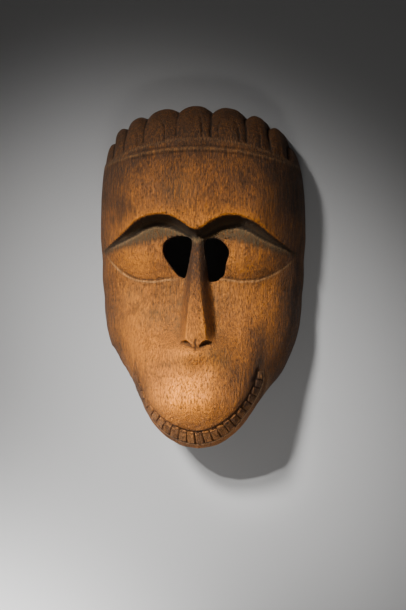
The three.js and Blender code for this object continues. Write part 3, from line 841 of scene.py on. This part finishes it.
def toothPlaces():
    directions, lengths = toothRow()
    count = int(lengths[-1] // mouth["toothPitch"])
    alongRow = np.arange(-count, count) * mouth["toothPitch"] + teeth["offset"]
    alongRow = alongRow[np.abs(alongRow) < lengths[-1] - teeth["endGap"] * mouth["toothPitch"]]
    direction = np.sign(alongRow) * np.interp(np.abs(alongRow), lengths, directions)
    length = toothLength(np.abs(direction))
    gumSide, lipSide = onSkin(direction, 0.4), onSkin(direction, 0.95 * length)
    middle = onSkin(direction, 0.2 + 0.475 * length)
    row = onSkin(direction + 1.5, length / 2) - onSkin(direction - 1.5, length / 2)
    standing = teeth["height"] * rowLeft(direction, np.abs(direction)) ** 0.7
    return middle, gumSide - lipSide, row, standing


# A tree that sets one rounded block at each point, turned and sized by what the point says
def toothTree():
    tree = bpy.data.node_groups.new("toothRow", "GeometryNodeTree")
    sockets = tree.interface
    sockets.new_socket("Geometry", in_out="INPUT", socket_type="NodeSocketGeometry")
    for name in ("Crease", "Size Spread", "Turn Spread"):
        sockets.new_socket(name, in_out="INPUT", socket_type="NodeSocketFloat")
    sockets.new_socket("Seed", in_out="INPUT", socket_type="NodeSocketInt")
    sockets.new_socket("Wood", in_out="INPUT", socket_type="NodeSocketMaterial")
    sockets.new_socket("Geometry", in_out="OUTPUT", socket_type="NodeSocketGeometry")
    given = addNode(tree, "NodeGroupInput").outputs

    def stored(name):
        kind = "GeometryNodeInputNamedAttribute"
        return addNode(tree, kind, {"Name": name}, data_type="FLOAT_VECTOR").outputs[0]

    def vectorMath(operation, a, b):
        return addNode(tree, "ShaderNodeVectorMath", {0: a, 1: b}, operation=operation).outputs[0]

    def randomVector(spread, offset):
        low = addNode(tree, "ShaderNodeMath", {0: spread, 1: -1.0}, operation="MULTIPLY").outputs[0]
        seed = addNode(tree, "ShaderNodeMath", {0: given["Seed"], 1: offset}, operation="ADD").outputs[0]
        node = addNode(tree, "FunctionNodeRandomValue", {"Seed": seed}, data_type="FLOAT_VECTOR")
        tree.links.new(low, node.inputs["Min"])
        tree.links.new(spread, node.inputs["Max"])
        return node.outputs[0]

    cube = addNode(tree, "GeometryNodeMeshCube", {"Size": (1, 1, 1)})
    inputs = {"Mesh": cube.outputs["Mesh"], "Level": 3, "Edge Crease": given["Crease"]}
    tooth = addNode(tree, "GeometryNodeSubdivisionSurface", inputs)
    size = vectorMath("ADD", randomVector(given["Size Spread"], 0.0), (1, 1, 1))
    size = vectorMath("MULTIPLY", size, stored("toothSize"))
    turn = vectorMath("ADD", stored("toothTurn"), randomVector(given["Turn Spread"], 1.0))
    inputs = {"Points": given["Geometry"], "Instance": tooth.outputs["Mesh"]}
    inputs.update({"Rotation": turn, "Scale": size})
    placed = addNode(tree, "GeometryNodeInstanceOnPoints", inputs)
    real = addNode(tree, "GeometryNodeRealizeInstances", {"Geometry": placed.outputs["Instances"]})
    inputs = {"Geometry": real.outputs["Geometry"], "Material": given["Wood"]}
    finished = addNode(tree, "GeometryNodeSetMaterial", inputs)
    addNode(tree, "NodeGroupOutput", {"Geometry": finished.outputs["Geometry"]})
    return tree


def setInputs(modifier, values):
    for item in modifier.node_group.interface.items_tree:
        if item.in_out == "INPUT" and item.name in values:
            modifier[item.identifier] = values[item.name]


def addVectors(mesh, name, values):
    attribute = mesh.attributes.new(name, "FLOAT_VECTOR", "POINT")
    attribute.data.foreach_set("vector", np.asarray(values, np.float32).ravel())


# The mesh that an object shows, as a plain mesh object of its own
def plainCopy(source, name):
    evaluated = source.evaluated_get(bpy.context.evaluated_depsgraph_get())
    copy = sceneObject(name, bpy.data.meshes.new_from_object(evaluated))
    bpy.data.objects.remove(source)
    return copy


def toothObject():
    middle, down, row, standing = toothPlaces()
    turns, sizes, places = [], [], []
    for i in range(len(middle)):
        along = Vector(down[i]).normalized()
        outwards = Vector(row[i]).cross(along).normalized()
        across = along.cross(outwards)
        turns.append(Matrix((across, along, outwards)).transposed().to_euler())
        length = Vector(down[i]).length + 2 * teeth["overlap"]
        sizes.append((teeth["width"] * mouth["toothPitch"], length, standing[i] + teeth["root"]))
        places.append(Vector(middle[i]) + outwards * (standing[i] - teeth["root"]) / 2)
    roots = makeMesh("toothRow", np.array([list(p) for p in places]), [])
    addVectors(roots.data, "toothTurn", [list(t) for t in turns])
    addVectors(roots.data, "toothSize", np.array(sizes) * millimetre)
    modifier = roots.modifiers.new("teeth", "NODES")
    modifier.node_group = toothTree()
    values = {"Crease": teeth["crease"], "Size Spread": teeth["sizeSpread"], "Seed": teeth["seed"]}
    values.update({"Turn Spread": math.radians(teeth["turnSpread"]), "Wood": woodMaterial})
    setInputs(modifier, values)
    return plainCopy(roots, "teeth")


def joinSolid(target, other, operation):
    modifier = target.modifiers.new(operation, "BOOLEAN")
    modifier.object = other
    modifier.operation = operation
    modifier.solver = "MANIFOLD"
    joined = plainCopy(target, target.name)
    bpy.data.objects.remove(other)
    return joined


mask = shellObject()
print("shell:", len(mask.data.polygons), "faces")
mask = joinSolid(mask, toothObject(), "UNION")
print("teeth joined:", len(mask.data.polygons), "faces")
for outline in (rightOpening, leftOpening):
    mask = joinSolid(mask, eyeCutter(outline), "DIFFERENCE")
print("eyes cut:", len(mask.data.polygons), "faces")


def thinnedMesh(source, triangles):
    mesh = source.data
    mesh.calc_loop_triangles()
    modifier = source.modifiers.new("thin", "DECIMATE")
    modifier.ratio = min(1, triangles / len(mesh.loop_triangles))
    return plainCopy(source, source.name)


mask = thinnedMesh(mask, carving["triangles"])
mask.name = "carvedWoodenMask"
print("thinned to:", len(mask.data.polygons), "faces")


# Marks of handling and damp, and of painted light and shade: [x, y, half width, half height, strength]
marks = {
    # Stains, and along the right side painted shade where the face turns from the light
    "dark": [
        [-20, 66, 9, 16, 0.35], [33, 68, 10, 12, 0.4], [-58, 50, 8, 12, 0.3], [42, -44, 6, 8, 0.6],
        [46, -60, 5, 12, 0.6], [-62, -24, 8, 12, 0.3], [24, -24, 6, 14, 0.3], [62, 30, 10, 40, 0.35],
        [-14, -100, 16, 6, 0.2], [-54, 112, 20, 14, 0.4], [-60, -50, 8, 14, 0.35], [50, -45, 4, 7, 0.4],
        [-34, -27, 4, 3, 0.5], [-22, -66, 8, 2, 0.35], [30, -74, 5, 10, 0.25],
        [45, -82, 16, 26, 0.65], [-46, -92, 13, 20, 0.9], [30, 0, 16, 3, 0.3], [67, -30, 11, 34, 0.5],
        [-32, -68, 14, 12, 0.3], [26, -68, 14, 16, 0.35], [0, -49, 20, 6, 0.25],
    ],
    "dusty": [
        [-29, -30, 14, 9, 0.55], [-20, -12, 7, 12, 0.4], [16, -60, 10, 9, 0.6], [-50, -14, 8, 7, 0.3],
        [-8, -62, 12, 5, 0.35], [20, -12, 6, 12, 0.3], [-14, 62, 12, 14, 0.3],
    ],
    # Worn places, with the painted highlight on the muzzle and painted light on the left eye
    "rubbedAndHighlit": [
        [-7, -88, 17, 14, 1.0], [-50, 10, 16, 9, 0.5], [0, 44, 26, 8, 0.35], [-52, -44, 10, 10, 0.3],
        [11, -71, 6, 9, 0.5], [-36, -60, 8, 12, 0.4], [32, -58, 7, 14, 0.35], [-8, -62, 44, 36, 0.35],
    ],
}


# How strongly age and painted shade show in each kind of place
patina = {
    "grimeInCuts": 0.85,
    "grimeAndShadeUnderBrow": [0.15, 0.6],  # at the crease of the lid and at the brow's edge
    "grimeInCracks": 0.9,
    "rubbedEdges": 0.3,
    "rubbedSwells": 0.2,
    "paleLidBead": 0.4,
    "paleLidFold": 0.3,
    "paleCord": 0.16,
    "palePetalFoot": 0.12,
    "paleLip": 0.7,
    "dustOnLid": 0.75,
    "dustInHollows": 0.35,
    "shadeOnTemples": 0.7,
    "shadeOnSides": 0.8,
    "smokeAndShadeOnLid": 1.1,
    "smokeAndShadeOnBridge": 1.2,
    "darkBetweenTeeth": 0.8,
    "rubbedTeeth": 0.3,
    "paleTeeth": 0.25,
}


def marked(x, y, kind):
    total = 0
    for markX, markY, halfWidth, halfHeight, strength in marks[kind]:
        near = ((x - markX) / halfWidth) ** 2 + ((y - markY) / halfHeight) ** 2
        total = total + strength * np.exp(-near)
    return total


# How far each point of a net lies below its surroundings, over a few steps of the net
def hollowness(points, steps):
    smooth = points
    for _ in range(steps):
        padded = np.pad(smooth, ((1, 1), (1, 1), (0, 0)), mode="edge")
        smooth = (padded[2:, 1:-1] + padded[:-2, 1:-1] + padded[1:-1, 2:] + padded[1:-1, :-2]) / 4
    return ((smooth - points) * normalsOf(points)).sum(2)


# What the years left on the outside: grime in the cuts, dust on the ledges, rubbed high places and smoke
# Painted light too: shade under the brows, on the temples, sides, lids and bridge, a highlight on the
# muzzle
def outsidePaint():
    x, y, z = np.moveaxis(outside, -1, 0)
    away, y = np.abs(x), eyeLevel(x, y)
    fine, broad = hollowness(outside, 6), hollowness(outside, 90)
    grimeAndShade = ramp(0.03, 0.4, fine) * patina["grimeInCuts"]
    inEye = (away < eyes["corner"]) & (y < browEdge(away) + 0.5) & (y > lowerLid(away) - 1)
    underBrow = inEye * ramp(-1, 3, y - lidCrease(away))
    grimeAndShade = grimeAndShade * (1 - 0.8 * (away < 18) * ramp(-56, -40, y) * (1 - ramp(0, 20, y)))
    # Painted shade under the brow, with grime: darkest at the brow's edge, fading towards the lid's
    # crease
    nearBrow = ramp(0, 0.8, (y - lidCrease(away)) / np.maximum(browEdge(away) - lidCrease(away), 1))
    grimeAndShade = np.maximum(grimeAndShade, underBrow * mix(*patina["grimeAndShadeUnderBrow"], nearBrow))
    inCrack = patina["grimeInCracks"] * bump(distanceTo(x, y, nose["crack"]), 0, 1.0)
    inSlot = patina["grimeInCracks"] * bump(distanceTo(x, y, mouth["cornerSlot"]), 0, 1.3)
    grimeAndShade = np.maximum(np.maximum(grimeAndShade, inCrack), inSlot)
    rubbedAndHighlit = ramp(0.1, 0.6, -fine) * patina["rubbedEdges"]
    # The rubbed marks also paint the highlight on the muzzle and the light on the left eye
    rubbedAndHighlit = rubbedAndHighlit + ramp(0.4, 2.2, -broad) * patina["rubbedSwells"] + marked(x, y, "rubbedAndHighlit")
    lid = inEye * ramp(-5, 3, y - upperLid(away))
    bead = bump(y, lowerLid(away) - 0.6, 0.9) * ramp(14, 20, away) * (1 - ramp(66, 72, away))
    foldLine = inEye * bump(y, lidCrease(away) - 1, 1.1) * (1 - ramp(60, 70, away))
    cord = bump(y - crown["bandMiddle"] + crown["bandBow"] * x * x, 0, 0.9)
    petalFoot = bump(overPetalFoot(x, y), -1.6, 0.8)
    direction, below = mouthPlace(x, y)
    overLip = below - toothLength(direction)
    lip = (bump(overLip, 1, 0.7) + 0.5 * bump(overLip, 4.6, 0.8)) * rowLeft(x, direction)
    pale = patina["paleLidBead"] * bead + patina["paleLidFold"] * foldLine + patina["paleCord"] * cord
    pale = pale + patina["palePetalFoot"] * petalFoot + patina["paleLip"] * lip
    dust = patina["dustOnLid"] * lid + patina["dustInHollows"] * ramp(0.4, 2.0, broad)
    dust = dust + marked(x, y, "dusty")
    bridge = (1 - ramp(6, 12, away)) * ramp(-40, 18, y) * (1 - ramp(30, 36, y))
    # Painted shade: the forehead darkens towards its sides, where the light falls off
    temples = patina["shadeOnTemples"] * ramp(26, 66, away) * ramp(36, 60, y)
    # Painted shade down the side walls, which turn away from the light
    sides = patina["shadeOnSides"] * (1 - ramp(20, 66, z))
    # The dark marks, and darker towards the crown
    smokedAndShaded = temples + marked(x, y, "dark") + ramp(56, 104, y) + sides
    # Smoke on the lids and the nose bridge, with painted shade under the brows
    smokedAndShaded = smokedAndShaded + patina["smokeAndShadeOnLid"] * lid + patina["smokeAndShadeOnBridge"] * bridge
    inHollow = np.zeros(x.shape)
    return np.stack([grimeAndShade, rubbedAndHighlit, dust, smokedAndShaded, pale, inHollow], -1).reshape(-1, 6)


def insidePaint():
    fine = hollowness(inside, 4)
    grimeAndShade = 0.25 + 0.3 * ramp(0.02, 0.25, -fine)
    none = np.zeros(grimeAndShade.shape)
    notRim = ramp(0.2, 3, inside[..., 2])
    return np.stack([grimeAndShade, none, none, none, none, notRim], -1).reshape(-1, 6)


# Puts the paint on the finished mesh: each point takes it from the nearest point of the nets
def paintMask(made):
    nets = np.concatenate([outside.reshape(-1, 3), inside.reshape(-1, 3)])
    paint = np.clip(np.concatenate([outsidePaint(), insidePaint()]), 0, 1)
    tree = KDTree(len(nets))
    for i, point in enumerate(nets):
        tree.insert(point, i)
    tree.balance()
    places = np.array([v.co for v in made.data.vertices]) / millimetre
    nearest = [tree.find(p)[1] for p in places]
    paint = paint[nearest]
    # Between the teeth the paint is darker, and their faces are rubbed
    direction, below = mouthPlace(places[:, 0], places[:, 1])
    inRow = (direction < 94) & (below > -1) & (below < toothLength(direction) + 1)
    inRow = inRow & (places[:, 2] > teeth["lowest"])
    sunk = np.interp(places[:, 2] - nets[nearest][:, 2], [0.2, 1.3], [1, 0])
    between = patina["darkBetweenTeeth"] * sunk * rowLeft(places[:, 0], direction)
    onTeeth = {"grimeAndShade": between, "rubbedAndHighlit": patina["rubbedTeeth"] * (1 - sunk)}
    onTeeth["pale"] = patina["paleTeeth"] * (1 - sunk)
    for i, name in enumerate(coats):
        if name in onTeeth:
            paint[:, i] = np.where(inRow, onTeeth[name], paint[:, i])
        attribute = made.data.attributes.new(name, "FLOAT", "POINT")
        attribute.data.foreach_set("value", paint[:, i].astype(np.float32))


paintMask(mask)
mask.data.materials.clear()
mask.data.materials.append(woodMaterial)
mask.data.shade_smooth()
mask.data.set_sharp_from_angle(angle=math.radians(62))
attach(mask, "root")
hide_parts("carved_mask")
print("the mask is painted")

floorPaper = {"tone": "#9e9d9c", "roughness": 0.85, "size": 6.0}


# Matt studio paper: one even pale tone with hardly any shine
def makeFloor():
    half = floorPaper["size"] / 2
    mesh = bpy.data.meshes.new("paperFloor")
    corners = [(-half, -half, 0), (half, -half, 0), (half, half, 0), (-half, half, 0)]
    mesh.from_pydata(corners, [], [(0, 1, 2, 3)])
    floor = sceneObject("paperFloor", mesh)
    paper = bpy.data.materials.new("mattStudioPaper")
    paper.use_nodes = True
    shader = paper.node_tree.nodes["Principled BSDF"]
    shader.inputs["Base Color"].default_value = linearColour(floorPaper["tone"])
    shader.inputs["Roughness"].default_value = floorPaper["roughness"]
    mesh.materials.append(paper)


# Metres, degrees and watts. The key and the small accent come from the upper left and are aimed at the
# cheeks and the muzzle, so their soft edges leave the crown darker. The floor light brightens the paper
# on the lower left. A weak fill from below and the even sky keep the brows and the far side readable.
studio = {
    "key": {
        "place": (-0.5, 0.58, 1.12), "aim": (-0.03, -0.075, 0.05), "size": 0.3, "cone": 13, "power": 338
    },
    "accent": {
        "place": (-0.5, 0.4, 1.2), "aim": (-0.01, -0.093, 0.085), "size": 0.04, "cone": 4.2, "power": 85
    },
    "floor": {
        "place": (-0.5, -0.9, 0.9), "aim": (-0.25, -0.45, 0), "size": 0.2, "cone": 26, "power": 700
    },
    "fill": {
        "place": (0.1, -0.8, 1.25), "aim": (0, -0.17, 0), "size": 0.4, "cone": 20, "power": 40
    },
    "sky": 2,  # strength of the world's own dark grey
}


def addLight(name, spec):
    lamp = bpy.data.lights.new(name, "SPOT")
    lamp.shadow_soft_size = spec["size"] / 2
    lamp.spot_size = math.radians(spec["cone"])
    lamp.spot_blend = 1
    lamp.energy = spec["power"]
    light = sceneObject(name, lamp)
    light.location = spec["place"]
    heading = Vector(spec["aim"]) - Vector(spec["place"])
    light.rotation_euler = heading.to_track_quat("-Z", "Y").to_euler()


# The view of the photograph: from straight in front of the face, a little from the viewer's right
lookout = {
    "target": (0.0025, -0.0215, 0.045),
    "distance": 1.9,
    "yaw": 4.5,
    "lens": 149.5,
}


def makeCamera():
    yaw = math.radians(lookout["yaw"])
    heading = Vector((math.sin(yaw), 0, math.cos(yaw)))
    data = bpy.data.cameras.new("camera")
    data.sensor_width = 36
    data.lens = lookout["lens"]
    camera = sceneObject("camera", data)
    camera.location = Vector(lookout["target"]) + heading * lookout["distance"]
    right = Vector((math.cos(yaw), 0, -math.sin(yaw)))
    camera.rotation_euler = Matrix((right, heading.cross(right), heading)).transposed().to_euler()
    bpy.context.scene.camera = camera


makeFloor()
for name in ("key", "accent", "floor", "fill"):
    addLight(name, studio[name])
world = bpy.data.worlds.new("studio")
world.use_nodes = True
world.node_tree.nodes["Background"].inputs["Strength"].default_value = studio["sky"]
bpy.context.scene.world = world
makeCamera()
print("floor, lights and camera are set")
